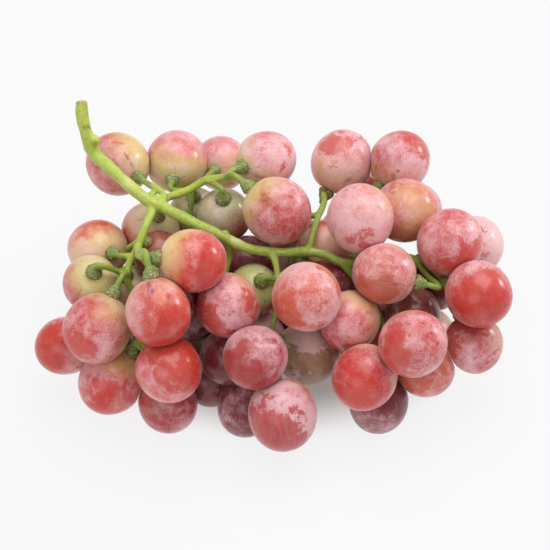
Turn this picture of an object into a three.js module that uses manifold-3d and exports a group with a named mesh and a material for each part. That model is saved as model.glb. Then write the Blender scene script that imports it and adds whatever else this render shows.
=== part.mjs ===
// A bunch of large red table grapes lying on its side, as cut from the vine.
// Two bodies: the green stem, and the berries, which press into each other and hold together.
// Millimetres, +Z up, the bunch rests on z = 0 and the viewer stands at -Y. The cut end is at the back left.

import * as THREE from 'three';
import { mergeVertices } from 'three/addons/utils/BufferGeometryUtils.js';
import Module from 'manifold-3d';

// Driving dimensions.
const press = 1.5;               // how far two neighbouring berries press into each other
const reach = 4;                 // neighbours with a wider gap than this are left apart
const push = 0.3;                // share of an overlap that one round of settling takes away
const pull = 0.15;               // share of a small gap that it closes
const hold = 0.03;               // how strongly a berry is held at the place it is listed at
const restDepth = 0.5;           // how far the lowest berries flatten where they rest
const restReach = 2.5;           // berries whose underside is this near the table rest on it
const lengthFactor = 1.05;       // berry length along its stalk, over its mean diameter
const widthFactor = 0.98;        // berry width across its stalk, over its mean diameter
const facetFactor = 1.012;       // puts the facets, not their corners, at the berry's size
const air = 0.3;                 // gap between the stem and the berries
const armRoom = 0.9;             // room that an arm keeps from the berries, so that it clears them all along
const stalkRoom = 0.6;
const stalkRadius = 1.1;         // a berry's own stalk
const budRadius = 2.7;           // the swollen end of the stalk, against the berry
const hiddenBudRadius = 2.2;     // the same, where the bunch hides it
const budLength = 2.6;
const shortestBud = 0.8;         // a berry so near its arm that less than this is left has no stalk
const budShare = 0.7;            // the most of a short stalk that its swollen end may take
const budShoulder = 0.85;        // radius at the two shoulders of the swollen end, over that at its middle
const stalkLean = 3;             // a stalk leaves its arm this much nearer the arm's root
const stalkStep = 6;             // spacing of the points along a stalk
const turnShare = 0.6;           // a stalk bends towards the point this share of the way out from the berry,
const approachShare = 0.3;       // and has turned square to the berry at this share
const deepTouching = 4;          // a berry with this many neighbours pressing on it is deep in the bunch
const spineSides = 7;
const armSides = 5;
const stalkSides = 4;
const twistStep = 0.7;           // each tube's corners are turned this much further than the last one's
const weld = 1e-2;               // corners nearer than this are one
const weldPasses = 4;
const settleRounds = 300;
const clearRounds = 80;
const moveSharing = 0.4;         // share of its neighbours' moves that a point of a path takes on

// The swollen end of a stalk: how far out from the berry, as a share of its length, and the radius there.
const shownBud = [
  [1, stalkRadius],
  [0.6, budRadius * budShoulder],
  [0.25, budRadius],
  [0, budRadius * budShoulder],
];
const hiddenBud = [[1, stalkRadius], [0.3, hiddenBudRadius], [0, hiddenBudRadius * budShoulder]];

const stemGreen = 0x9fb545;
const berryRed = 0xb8636a;

// The arms of the stem: points x, y, z and the radius there. Each starts on the spine or the arm named in
// growsFrom, at the nearest place to its first point.
const arms = {
  spine: [[-70.7, 43, 88, 2.3], [-70.5, 40, 82.5, 2.3], [-69, 37, 76, 2.4], [-67, 35, 70, 2.5],
    [-61, 30, 67, 2.3], [-54, 24, 64, 2.2], [-47, 19, 61, 2.3], [-41, 17, 59, 2.2], [-34, 13, 58, 2], [-27, 9, 57, 2],
    [-18, 5, 55, 1.9], [-11, 2, 53, 1.9], [-4, 2, 51, 1.7], [4, 2, 50, 1.7], [10, 3, 49, 1.7], [18, 2, 48, 1.7],
    [23, -1, 47, 1.6], [31, 0, 46, 1.5], [42, 4, 46, 1.4], [53, 4, 44, 1.3], [63, -4, 42, 1.1]],
  backLeft: [[-42, 17, 59, 1.6], [-40, 22, 59, 1.5], [-33, 28, 57, 1.5], [-25, 31, 60, 1.4], [-18, 29, 63, 1.3],
    [-15.5, 27.5, 64.5, 1.2]],
  shoulder: [[-42, 18, 60, 1.5], [-41, 22, 61, 1.3], [-45, 26, 61, 1.2]],
  frontLeft: [[-46, 19, 61, 1.6], [-45, 16, 59, 1.6], [-47, 9, 57, 1.5], [-50, 3, 52, 1.4], [-53, -1, 48, 1.3],
    [-54, -7, 44, 1.2]],
  frontFork: [[-50, 3, 52, 1.4], [-49, -5, 58, 1.2], [-47, -12, 64, 1.1]],
  leftDown: [[-54, -6, 45, 1.2], [-52, -9, 39, 1.1], [-50, -19, 32, 1.1], [-49, -24, 27, 1]],
  leftInner: [[-49, 5, 54, 1.1], [-54, 9, 44, 1], [-54, 13, 34, 1]],
  backDown: [[-34, 13, 58, 1.4], [-31, 18, 50, 1.2], [-28, 22, 40, 1.1], [-28, 24, 34, 1]],
  frontDown: [[-18, 5, 55, 1.4], [-16, 4, 48, 1.2], [-17, 0, 43, 1.1], [-19, -6, 36, 1.1], [-18, -14, 28, 1],
    [-20, -15, 20, 1]],
  middleDown: [[9, 3, 49, 1.3], [8, 8, 42, 1.1], [7, 8, 33, 1], [8, 6, 28, 1]],
  nearDown: [[-1, 2, 50.5, 1.4], [0, -4, 49, 1.2], [0, -12, 41, 1.1], [-3, -22, 35, 1], [-4, -32, 31, 1]],
  backRight: [[12, 3, 49, 1.4], [14, 10, 51, 1.3], [16, 18, 52, 1.2], [19, 27, 53, 1.1], [19, 33, 52, 1]],
  farRight: [[29, 0, 46, 1.4], [33, 10, 45, 1.2], [34, 22, 46, 1.2], [38, 33, 47, 1.1]],
  rightDown: [[24, -1, 46, 1.4], [31, -5, 42, 1.2], [36, -8, 38, 1.2], [40, -13, 33, 1.1], [42, -20, 30, 1],
    [43, -26, 28, 1]],
  endDown: [[52, 4, 44, 1.2], [49, -1, 38, 1.1], [48, -2, 30, 1], [49, 3, 26, 1]],
  endRight: [[62, -3, 42, 1.1], [70, 2, 41, 1.1], [75, 8, 40, 1]],
};

const growsFrom = { frontFork: 'frontLeft', leftDown: 'frontLeft', leftInner: 'frontLeft' };

// The berries on each arm: middle x, y, z and mean diameter, then, for those whose stalk end shows,
// the direction from the middle to that end.
const berriesOn = {
  shoulder: [[-61, 44, 56, 24.4]],
  backLeft: [[-37, 52, 53, 24.2, [-1, -12, 2]], [-21, 60, 42, 22], [-3.5, 41, 63, 22.6, [-8, -7, 3]],
    [1, 14, 60, 24.8, [-10, 6, 6]], [-20, 26, 48, 21.2, [0, -2, 10]]],
  frontLeft: [[-48, 27, 40, 22.8, [3, -3, 10]], [-68, 17, 38, 23, [6, -8, 6]], [-68, -4, 41, 21.4, [2, -4, 10]],
    [-63, -26, 42, 24.8, [4, 6, 6]], [-41, 9, 44, 19.4], [-55, 3, 28, 20.8, [-1, -2, 10]]],
  frontFork: [[-28, -14, 69, 23, [-10, -1, 2]], [-42, -35, 57, 23.2, [-2, 7, 7]], [-38, -17, 46, 20.6]],
  leftDown: [[-78, -18, 22, 22.2], [-62, -34, 17, 24], [-37, -43, 36, 23.8], [-38, -37.5, 12, 22],
    [-54, -10, 12, 24], [-31, -8, 29, 21.2]],
  leftInner: [[-54, 17, 12, 24]],
  backDown: [[-32, 40, 33, 20.8, [0, -2, 10]], [-19, 29, 21, 24], [-36, 13, 25, 24],
    [-9, 14, 33, 21.6], [-42, 36, 17, 23]],
  frontDown: [[-16, -21, 49, 23.6], [-19, -27, 28, 20.4], [-25, -26, 10, 20],
    [-33, -8, 10, 20.2], [-17, 8, 12, 24], [-7, -12, 19, 24]],
  middleDown: [[3, 18, 15, 24], [26, 18, 17, 24], [14, -2, 18, 24], [19, 18, 38, 22], [18, -2, 37, 20],
    [6, 40, 20, 23]],
  nearDown: [[10, -23.5, 55, 25], [-7, -5, 39, 19.8, [3, -4, 9]], [-6, -41, 42.5, 23.2], [12, -24, 22, 23.2],
    [5, -54, 22.5, 25.2, [-3, 10, 9]], [-10.5, -37.5, 12, 22]],
  backRight: [[25, 44, 57, 23.8, [-6, -9, -8]], [2.5, 31.5, 45.5, 23]],
  farRight: [[48, 45, 59, 23, [-8, -8, -6]], [54, 37, 39, 22], [41, 53, 34, 22.4], [29, 8, 64, 24.8],
    [48, 20, 54, 24], [30, 42, 24, 23]],
  rightDown: [[28, -20, 37, 22.2], [49, -39, 47, 24.4], [32, -44, 31, 23.8], [37, -36, 11, 22.6],
    [55, -30, 22, 21.8]],
  spine: [[65, 2, 56, 24.4], [74, -20, 50, 24.2], [74, -23, 29, 21.2]],
  endRight: [[77, 22, 35, 22.2]],
  endDown: [[42, -11, 54, 22.4, [11, -2, -2]], [52, -13, 32, 21.2], [49, 16, 12, 24], [62, 8, 30, 24],
    [36, 5, 32, 24], [60, -5, 12, 24], [37, -4, 12, 24]],
};

const manifoldLibrary = await Module();
manifoldLibrary.setup();

function listBerries() {
  const berries = [];
  for (const [arm, rows] of Object.entries(berriesOn)) {
    for (const [x, y, z, diameter, pole] of rows) {
      berries.push({
        arm,
        centre: new THREE.Vector3(x, y, z),
        radius: diameter / 2,
        pole: pole ? new THREE.Vector3(...pole).normalize() : null,
      });
    }
  }
  return berries;
}

// Moves the berries until neighbours just press together: each pair that overlaps more than the press
// is pushed apart, each pair with a small gap is drawn together, and low berries sink onto the table.
function settle(berries) {
  const listed = berries.map(({ centre }) => centre.clone());
  for (let round = 0; round < settleRounds; round += 1) {
    const moves = berries.map(() => new THREE.Vector3());
    for (let i = 0; i < berries.length; i += 1) {
      for (let j = 0; j < i; j += 1) {
        const apart = berries[i].centre.clone().sub(berries[j].centre);
        const gap = apart.length() - (berries[i].radius + berries[j].radius - press);
        const share = gap < 0 ? push : gap < reach ? pull * (1 - gap / reach) : 0;
        apart.setLength(gap * share);
        moves[i].sub(apart);
        moves[j].add(apart);
      }
    }
    berries.forEach((berry, i) => {
      berry.centre.add(moves[i]).lerp(listed[i], hold);
      const bottom = berry.centre.z - berry.radius + restDepth;
      if (bottom < restReach) berry.centre.z -= bottom;
    });
  }
}

// Puts the middle of the bunch, seen from above, over the origin.
function centreOver(berries, armPoints) {
  const box = new THREE.Box3();
  for (const { centre, radius } of berries) {
    box.expandByPoint(centre.clone().subScalar(radius));
    box.expandByPoint(centre.clone().addScalar(radius));
  }
  const shift = box.getCenter(new THREE.Vector3()).setZ(0);
  berries.forEach(({ centre }) => centre.sub(shift));
  Object.values(armPoints).flat().forEach(({ at }) => at.sub(shift));
}

// Bends a path clear of the berries. In each round a free point takes on a share of its neighbours' moves, so
// that the path keeps its shape, and is pushed out of every berry that it is too near to. The first point stays,
// and so do the last fixedAtEnd ones.
function pushClear(points, berries, room, fixedAtEnd, skipped) {
  const drawn = points.map(({ at }) => at.clone());
  const last = points.length - 1;
  let moved = points.map(() => new THREE.Vector3());
  for (let round = 0; round < clearRounds; round += 1) {
    moved = moved.map((move, i) => {
      if (i === 0 || i > last - fixedAtEnd) return move;
      const around = moved[i - 1].clone().lerp(moved[Math.min(i + 1, last)], 0.5);
      const next = move.clone().lerp(around, moveSharing);
      const at = drawn[i].clone().add(next);
      for (const berry of berries) {
        const away = at.clone().sub(berry.centre);
        const lack = berry.radius * lengthFactor + points[i].radius + room - away.length();
        if (berry !== skipped && lack > 0) next.add(away.setLength(lack));
      }
      return next;
    });
  }
  points.forEach(({ at }, i) => at.copy(drawn[i]).add(moved[i]));
}

function readArms() {
  const read = {};
  for (const [name, rows] of Object.entries(arms)) {
    read[name] = rows.map(([x, y, z, radius]) => ({ at: new THREE.Vector3(x, y, z), radius }));
  }
  return read;
}

// The place on a path that is nearest to a given place.
function nearestOn(points, place) {
  let best = null;
  for (let i = 1; i < points.length; i += 1) {
    const line = new THREE.Line3(points[i - 1].at, points[i].at);
    const at = line.closestPointToPoint(place, true, new THREE.Vector3());
    const distance = at.distanceTo(place);
    if (!best || distance < best.distance) best = { at, distance, behind: line.start };
  }
  return best;
}

// Bends the arms clear of the berries, the spine first, and starts each arm on the one it grows from.
function placeArms(armPoints, berries) {
  for (const [name, points] of Object.entries(armPoints)) {
    if (name !== 'spine') points[0].at.copy(nearestOn(armPoints[growsFrom[name] ?? 'spine'], points[0].at).at);
    pushClear(points, berries, armRoom, 0, null);
  }
}

// Where a berry's stalk leaves its arm: nearest to the berry, moved a little towards the arm's root.
function stalkRoot(points, centre) {
  const { at, behind } = nearestOn(points, centre);
  const back = behind.clone().sub(at);
  return at.clone().add(back.setLength(Math.min(back.length(), stalkLean)));
}

// A berry's stalk: from its root on the arm, bent to meet the berry square on and clear of the other
// berries, with a swollen end. A berry that sits right on its arm has none.
function stalkPoints(berry, root, berries) {
  const shown = berry.pole !== null;
  if (!shown) berry.pole = root.clone().sub(berry.centre).normalize();
  const end = berry.centre.clone().addScaledVector(berry.pole, berry.radius * lengthFactor + air);
  const span = end.distanceTo(root);
  const bud = Math.min(budLength, span * budShare);
  if (bud < shortestBud) return null;
  const alongPole = (distance) => end.clone().addScaledVector(berry.pole, distance);
  const freeLength = span - bud;
  const approach = alongPole(bud + freeLength * approachShare);
  const points = [{ at: root, radius: stalkRadius }];
  if (span > stalkStep) {
    const curve = new THREE.QuadraticBezierCurve3(root, alongPole(bud + freeLength * turnShare), approach);
    const steps = Math.round(curve.getLength() / stalkStep) + 1;
    points.push(...curve.getPoints(steps).slice(1).map((at) => ({ at, radius: stalkRadius })));
    pushClear(points, berries, stalkRoom, 1, berry);
  }
  for (const [part, radius] of shown ? shownBud : hiddenBud) points.push({ at: alongPole(part * bud), radius });
  return points;
}

// A closed tube through the points, with its own radius at each, made thicker all round by extra. The twist
// turns its corners about its middle line, so that no two tubes that meet share a face.
function tubeGeometry(points, sides, extra, twist) {
  const corners = [];
  const faces = [];
  let across = new THREE.Vector3(1, 2, 3);
  points.forEach(({ at, radius }, i) => {
    const ahead = points[Math.min(i + 1, points.length - 1)].at;
    const behind = points[Math.max(i - 1, 0)].at;
    const along = ahead.clone().sub(behind).normalize();
    across = across.clone().addScaledVector(along, -across.dot(along)).normalize();
    const side = along.clone().cross(across);
    for (let k = 0; k < sides; k += 1) {
      const angle = (2 * Math.PI * k) / sides + twist;
      corners.push(at.clone().addScaledVector(across, (radius + extra) * Math.cos(angle))
        .addScaledVector(side, (radius + extra) * Math.sin(angle)));
    }
  });
  const ring = (i, k) => i * sides + (k % sides);
  for (let i = 0; i + 1 < points.length; i += 1) {
    for (let k = 0; k < sides; k += 1) {
      faces.push(ring(i, k), ring(i, k + 1), ring(i + 1, k + 1));
      faces.push(ring(i, k), ring(i + 1, k + 1), ring(i + 1, k));
    }
  }
  const last = points.length - 1;
  const start = corners.push(points[0].at.clone()) - 1;
  const end = corners.push(points[last].at.clone()) - 1;
  for (let k = 0; k < sides; k += 1) {
    faces.push(start, ring(0, k + 1), ring(0, k));
    faces.push(end, ring(last, k), ring(last, k + 1));
  }
  const geometry = new THREE.BufferGeometry().setFromPoints(corners);
  geometry.setIndex(faces);
  return geometry;
}

// A berry: a faceted ball, slightly longer towards its stalk. One deep in the bunch has fewer facets.
function berryGeometry(berry, berries) {
  const touching = berries.filter(({ centre, radius }) => (
    centre.distanceTo(berry.centre) < radius + berry.radius)).length - 1;
  const cuts = touching < deepTouching ? 3 : 2;
  const geometry = new THREE.OctahedronGeometry(berry.radius * facetFactor, cuts);
  geometry.scale(widthFactor, widthFactor, lengthFactor);
  const turn = new THREE.Quaternion().setFromUnitVectors(new THREE.Vector3(0, 0, 1), berry.pole);
  geometry.applyQuaternion(turn);
  geometry.translate(berry.centre.x, berry.centre.y, berry.centre.z);
  return geometry;
}

function toSolid(geometry) {
  const bare = geometry.clone();
  bare.deleteAttribute('normal');
  bare.deleteAttribute('uv');
  const welded = mergeVertices(bare, weld);
  return new manifoldLibrary.Manifold(new manifoldLibrary.Mesh({
    numProp: 3,
    vertProperties: new Float32Array(welded.attributes.position.array),
    triVerts: new Uint32Array(welded.index.array),
  }));
}

// Joins solids into one body, without loose scraps and with any sealed hollow filled.
function joinSolids(solids) {
  const pieces = solids.reduce((whole, solid) => whole.add(solid)).decompose();
  return pieces.reduce((largest, piece) => (piece.volume() > largest.volume() ? piece : largest));
}

function geometryOf(solid) {
  const { vertProperties, triVerts } = solid.getMesh();
  const geometry = new THREE.BufferGeometry();
  geometry.setAttribute('position', new THREE.BufferAttribute(vertProperties, 3));
  geometry.setIndex(Array.from(triVerts));
  geometry.computeVertexNormals();
  return geometry;
}

// A mesh of the solid, welded again until the slivers where faces met are gone.
function toMesh(solid, name, material) {
  let welded = solid;
  for (let pass = 0; pass < weldPasses; pass += 1) welded = joinSolids([toSolid(geometryOf(welded))]);
  const mesh = new THREE.Mesh(geometryOf(welded), material);
  mesh.name = name;
  return mesh;
}

// Everything above the table, as a block to cut the resting berries flat with.
function aboveTable() {
  const side = 400;
  const block = new THREE.BoxGeometry(side, side, side);
  block.translate(0, 0, side / 2);
  return toSolid(block);
}

const berries = listBerries();
const armPoints = readArms();
settle(berries);
centreOver(berries, armPoints);
placeArms(armPoints, berries);
const stalks = berries.map((berry) => stalkPoints(berry, stalkRoot(armPoints[berry.arm], berry.centre), berries))
  .filter((points) => points !== null);

// All the tubes of the stem as solids, made thicker all round by extra.
function stemSolids(extra) {
  const armTubes = Object.entries(armPoints).map(([name, points], i) => (
    tubeGeometry(points, name === 'spine' ? spineSides : armSides, extra, twistStep * i)));
  const stalkTubes = stalks.map((points, i) => tubeGeometry(points, stalkSides, extra, twistStep * (i + 0.5)));
  return [...armTubes, ...stalkTubes].map(toSolid);
}

const stem = joinSolids(stemSolids(0));
const pressed = joinSolids(berries.map((berry) => toSolid(berryGeometry(berry, berries))));
const room = joinSolids(stemSolids(air)).add(stem);
const fruit = joinSolids([pressed.subtract(room).intersect(aboveTable())]);

const group = new THREE.Group();
group.name = 'bunch_of_grapes';
group.add(toMesh(fruit, 'berries', new THREE.MeshStandardMaterial({
  color: berryRed, roughness: 0.45, metalness: 0,
})));
group.add(toMesh(stem, 'stem', new THREE.MeshStandardMaterial({
  color: stemGreen, roughness: 0.6, metalness: 0,
})));

export default group;
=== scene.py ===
import math

import bpy
import numpy as np
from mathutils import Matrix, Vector


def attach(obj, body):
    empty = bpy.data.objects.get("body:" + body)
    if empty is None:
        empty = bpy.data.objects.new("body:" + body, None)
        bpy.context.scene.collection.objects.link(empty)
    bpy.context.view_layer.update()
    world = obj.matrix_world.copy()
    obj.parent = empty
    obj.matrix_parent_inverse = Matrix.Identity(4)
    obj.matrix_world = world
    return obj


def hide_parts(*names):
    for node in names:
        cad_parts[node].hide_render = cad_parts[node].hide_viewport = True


# A bunch of large red table grapes lying on its side: every berry, and the green branched stem.
# The layout is worked out in millimetres with the table at z = 0, and the meshes are in metres.

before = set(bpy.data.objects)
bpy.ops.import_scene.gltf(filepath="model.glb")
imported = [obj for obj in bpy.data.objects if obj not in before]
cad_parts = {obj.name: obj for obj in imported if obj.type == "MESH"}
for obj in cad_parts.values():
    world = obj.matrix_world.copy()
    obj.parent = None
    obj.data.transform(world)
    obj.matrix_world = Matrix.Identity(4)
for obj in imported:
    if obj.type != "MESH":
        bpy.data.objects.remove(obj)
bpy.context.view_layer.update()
print("frame loaded")

mm = 0.001

layout = {
    "press": 1.5,           # how far two neighbouring berries press into each other
    "reach": 4,             # neighbours with a wider gap than this are left apart
    "push": 0.3,            # share of an overlap that one round of settling takes away
    "pull": 0.15,           # share of a small gap that it closes
    "hold": 0.03,           # how strongly a berry is held at the place it is listed at
    "settleRounds": 300,
    "farAway": 1e9,         # distance set between a berry and itself
    "restDepth": 0.5,       # how far the lowest berries flatten where they rest
    "restReach": 2.5,       # berries whose underside is this near the table rest on it
    "lengthFactor": 1.05,   # berry length along its stalk, over its mean diameter
    "widthFactor": 0.98,
    "air": 0.3,             # gap between the modelled stem and the berries
    "armRoom": 0.9,         # room that an arm keeps from the berries
    "stalkRoom": 0.6,
    "clearRounds": 80,
    "moveSharing": 0.4,     # share of its neighbours' moves that a point of a path takes on
    "stalkRadius": 1.1,
    "stalkLean": 3,         # a stalk leaves its arm this much nearer the arm's root
    "stalkStep": 6,         # spacing of the points along a stalk
    "curveParts": 200,      # parts that a stalk's curve is measured in
    "budLength": 2.6,
    "shortestBud": 0.8,
    "budShare": 0.7,        # the most of a short stalk that its swollen end may take
    "turnShare": 0.6,       # a stalk bends towards the point this share of the way out from the berry
    "approachShare": 0.3,   # and has turned square to the berry at this share
}

# The arms of the stem: points x, y, z and the radius there.
arms = {
    "spine": [
        [-70.7, 43, 88, 2.3], [-70.5, 40, 82.5, 2.3], [-69, 37, 76, 2.4], [-67, 35, 70, 2.5],
        [-61, 30, 67, 2.3], [-54, 24, 64, 2.2], [-47, 19, 61, 2.3], [-41, 17, 59, 2.2], [-34, 13, 58, 2],
        [-27, 9, 57, 2], [-18, 5, 55, 1.9], [-11, 2, 53, 1.9], [-4, 2, 51, 1.7], [4, 2, 50, 1.7],
        [10, 3, 49, 1.7], [18, 2, 48, 1.7], [23, -1, 47, 1.6], [31, 0, 46, 1.5], [42, 4, 46, 1.4],
        [53, 4, 44, 1.3], [63, -4, 42, 1.1],
    ],
    "backLeft": [
        [-42, 17, 59, 1.6], [-40, 22, 59, 1.5], [-33, 28, 57, 1.5], [-25, 31, 60, 1.4],
        [-18, 29, 63, 1.3], [-15.5, 27.5, 64.5, 1.2],
    ],
    "shoulder": [[-42, 18, 60, 1.5], [-41, 22, 61, 1.3], [-45, 26, 61, 1.2]],
    "frontLeft": [
        [-46, 19, 61, 1.6], [-45, 16, 59, 1.6], [-47, 9, 57, 1.5], [-50, 3, 52, 1.4], [-53, -1, 48, 1.3],
        [-54, -7, 44, 1.2],
    ],
    "frontFork": [[-50, 3, 52, 1.4], [-49, -5, 58, 1.2], [-47, -12, 64, 1.1]],
    "leftDown": [[-54, -6, 45, 1.2], [-52, -9, 39, 1.1], [-50, -19, 32, 1.1], [-49, -24, 27, 1]],
    "leftInner": [[-49, 5, 54, 1.1], [-54, 9, 44, 1], [-54, 13, 34, 1]],
    "backDown": [[-34, 13, 58, 1.4], [-31, 18, 50, 1.2], [-28, 22, 40, 1.1], [-28, 24, 34, 1]],
    "frontDown": [
        [-18, 5, 55, 1.4], [-16, 4, 48, 1.2], [-17, 0, 43, 1.1], [-19, -6, 36, 1.1], [-18, -14, 28, 1],
        [-20, -15, 20, 1],
    ],
    "middleDown": [[9, 3, 49, 1.3], [8, 8, 42, 1.1], [7, 8, 33, 1], [8, 6, 28, 1]],
    "nearDown": [
        [-1, 2, 50.5, 1.4], [0, -4, 49, 1.2], [0, -12, 41, 1.1], [-3, -22, 35, 1], [-4, -32, 31, 1],
    ],
    "backRight": [
        [12, 3, 49, 1.4], [14, 10, 51, 1.3], [16, 18, 52, 1.2], [19, 27, 53, 1.1], [19, 33, 52, 1],
    ],
    "farRight": [[29, 0, 46, 1.4], [33, 10, 45, 1.2], [34, 22, 46, 1.2], [38, 33, 47, 1.1]],
    "rightDown": [
        [24, -1, 46, 1.4], [31, -5, 42, 1.2], [36, -8, 38, 1.2], [40, -13, 33, 1.1], [42, -20, 30, 1],
        [43, -26, 28, 1],
    ],
    "endDown": [[52, 4, 44, 1.2], [49, -1, 38, 1.1], [48, -2, 30, 1], [49, 3, 26, 1]],
    "endRight": [[62, -3, 42, 1.1], [70, 2, 41, 1.1], [75, 8, 40, 1]],
}
# The arms that grow from another arm. The rest grow from the spine.
growsFrom = {"frontFork": "frontLeft", "leftDown": "frontLeft", "leftInner": "frontLeft"}

# The berries on each arm: middle x, y, z and mean diameter, the direction to the stalk end where that
# shows, the kind of skin, and the way its riper side faces: right, up and near, as the viewer sees it.
berriesOn = {
    "shoulder": [(-61, 44, 56, 24.4, None, "peach", (-1, -0.6, 0))],
    "backLeft": [
        (-37, 52, 53, 24.2, (-1, -12, 2), "mauve", (0, 1, 0)),
        (-21, 60, 42, 22, None, "mauve", (0, 0.8, 0)),
        (-3.5, 41, 63, 22.6, (-8, -7, 3), "mauve", (0.8, 0.5, 0.2)),
        (1, 14, 60, 24.8, (-10, 6, 6), "rose", (0.7, -0.5, 0.2)),
        (-20, 26, 48, 21.2, (0, -2, 10), "green", (0.8, -0.8, 0.2)),
    ],
    "frontLeft": [
        (-48, 27, 40, 22.8, (3, -3, 10), "cream", (-1, 0, 0)),
        (-68, 17, 38, 23, (6, -8, 6), "cream", (0, 0.8, 0.3)),
        (-68, -4, 41, 21.4, (2, -4, 10), "cream", (-1, -0.5, 0)),
        (-63, -26, 42, 24.8, (4, 6, 6), "rose", (-0.8, -0.5, 0.3)),
        (-41, 9, 44, 19.4, None, "dusk", None), (-55, 3, 28, 20.8, (-1, -2, 10), "cream", (0, -1, 0)),
    ],
    "frontFork": [
        (-28, -14, 69, 23, (-10, -1, 2), "flame", (0.9, -0.4, 0.2)),
        (-42, -35, 57, 23.2, (-2, 7, 7), "flame", (0.2, -0.6, 0.5)),
        (-38, -17, 46, 20.6, None, "dusk", None),
    ],
    "leftDown": [
        (-78, -18, 22, 22.2, None, "rose", (-0.8, 0, 0.3)),
        (-62, -34, 17, 24, None, "rose", (0, -0.8, 0.4)),
        (-37, -43, 36, 23.8, None, "flame", (0.3, 0.4, 0.6)), (-38, -37.5, 12, 22, None, "crimson", None),
        (-54, -10, 12, 24, None, "dusk", None), (-31, -8, 29, 21.2, None, "dusk", None),
    ],
    "leftInner": [(-54, 17, 12, 24, None, "rose", None)],
    "backDown": [
        (-32, 40, 33, 20.8, (0, -2, 10), "green", (0.5, -1, 0)), (-19, 29, 21, 24, None, "rose", None),
        (-36, 13, 25, 24, None, "rose", None), (-9, 14, 33, 21.6, None, "dusk", None),
        (-42, 36, 17, 23, None, "blush", None),
    ],
    "frontDown": [
        (-16, -21, 49, 23.6, None, "rose", (-0.9, -0.4, 0.1)), (-19, -27, 28, 20.4, None, "dusk", None),
        (-25, -26, 10, 20, None, "dusk", None), (-33, -8, 10, 20.2, None, "dusk", None),
        (-17, 8, 12, 24, None, "rose", None), (-7, -12, 19, 24, None, "rose", None),
    ],
    "middleDown": [
        (3, 18, 15, 24, None, "rose", None), (26, 18, 17, 24, None, "blush", None),
        (14, -2, 18, 24, None, "dusk", None), (19, 18, 38, 22, None, "peach", (0, 1, 0)),
        (18, -2, 37, 20, None, "dusk", None), (6, 40, 20, 23, None, "rose", None),
    ],
    "nearDown": [
        (10, -23.5, 55, 25, None, "peach", (-0.5, -0.6, 0.3)),
        (-7, -5, 39, 19.8, (3, -4, 9), "green", (1, -0.6, 0)),
        (-6, -41, 42.5, 23.2, None, "crimson", (-0.3, -0.4, 0.6)),
        (12, -24, 22, 23.2, None, "olive", None),
        (5, -54, 22.5, 25.2, (-3, 10, 9), "crimson", (-0.1, -0.7, 0.6)),
        (-10.5, -37.5, 12, 22, None, "dusk", None),
    ],
    "backRight": [
        (25, 44, 57, 23.8, (-6, -9, -8), "mauve", (-0.2, 0.7, 0.5)),
        (2.5, 31.5, 45.5, 23, None, "rose", None),
    ],
    "farRight": [
        (48, 45, 59, 23, (-8, -8, -6), "lilac", (0.6, 0.7, 0)), (54, 37, 39, 22, None, "lilac", None),
        (41, 53, 34, 22.4, None, "lilac", None), (29, 8, 64, 24.8, None, "mauve", (-0.1, -0.9, 0.1)),
        (48, 20, 54, 24, None, "blush", (-0.6, 0.5, 0)), (30, 42, 24, 23, None, "rose", None),
    ],
    "rightDown": [
        (28, -20, 37, 22.2, None, "rose", None), (49, -39, 47, 24.4, None, "rose", (-0.5, -0.5, 0.5)),
        (32, -44, 31, 23.8, None, "rose", None), (37, -36, 11, 22.6, None, "dusk", (0.4, 0.6, 0.2)),
        (55, -30, 22, 21.8, None, "peach", None),
    ],
    "spine": [
        (65, 2, 56, 24.4, None, "rose", (0.2, -0.7, 0.2)),
        (74, -20, 50, 24.2, None, "rose", (-0.2, 0, 0.9)),
        (74, -23, 29, 21.2, None, "rose", (-0.5, 0.5, 0.3)),
    ],
    "endRight": [(77, 22, 35, 22.2, None, "lilac", None)],
    "endDown": [
        (42, -11, 54, 22.4, (11, -2, -2), "amber", (-0.3, -0.3, 0.6)),
        (52, -13, 32, 21.2, None, "dusk", None), (49, 16, 12, 24, None, "rose", None),
        (62, 8, 30, 24, None, "dusk", None), (36, 5, 32, 24, None, "peach", None),
        (60, -5, 12, 24, None, "blush", None), (37, -4, 12, 24, None, "rose", None),
    ],
}


# Each berry as its arm, centre, radius, pole (or none), kind and ripe side.
def listBerries():
    rows = [(arm, *row) for arm, rows in berriesOn.items() for row in rows]
    poles = [None if row[5] is None else np.array(row[5], float) for row in rows]
    return {
        "arm": [row[0] for row in rows],
        "centre": np.array([row[1:4] for row in rows], float),
        "radius": np.array([row[4] for row in rows], float) / 2,
        "pole": [None if pole is None else pole / np.linalg.norm(pole) for pole in poles],
        "kind": [row[6] for row in rows],
        "ripeSide": [row[7] for row in rows],
    }


# Each pair of berries moves along its line of centres: apart by a share of what overlaps beyond the
# press, together by a share of a small gap. Low berries drop onto the table.
def settle(centres, radii):
    listed = centres.copy()
    wanted = radii[:, None] + radii[None, :] - layout["press"]
    for _ in range(layout["settleRounds"]):
        apart = centres[:, None] - centres[None, :]
        distance = np.linalg.norm(apart, axis=2)
        np.fill_diagonal(distance, layout["farAway"])
        gap = distance - wanted
        closing = layout["pull"] * np.clip(1 - gap / layout["reach"], 0, None)
        share = np.where(gap < 0, layout["push"], closing)
        centres = centres - (apart * (gap * share / distance)[:, :, None]).sum(axis=1)
        centres += (listed - centres) * layout["hold"]
        bottom = centres[:, 2] - radii + layout["restDepth"]
        centres[:, 2] -= np.where(bottom < layout["restReach"], bottom, 0)
    return centres


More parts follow.
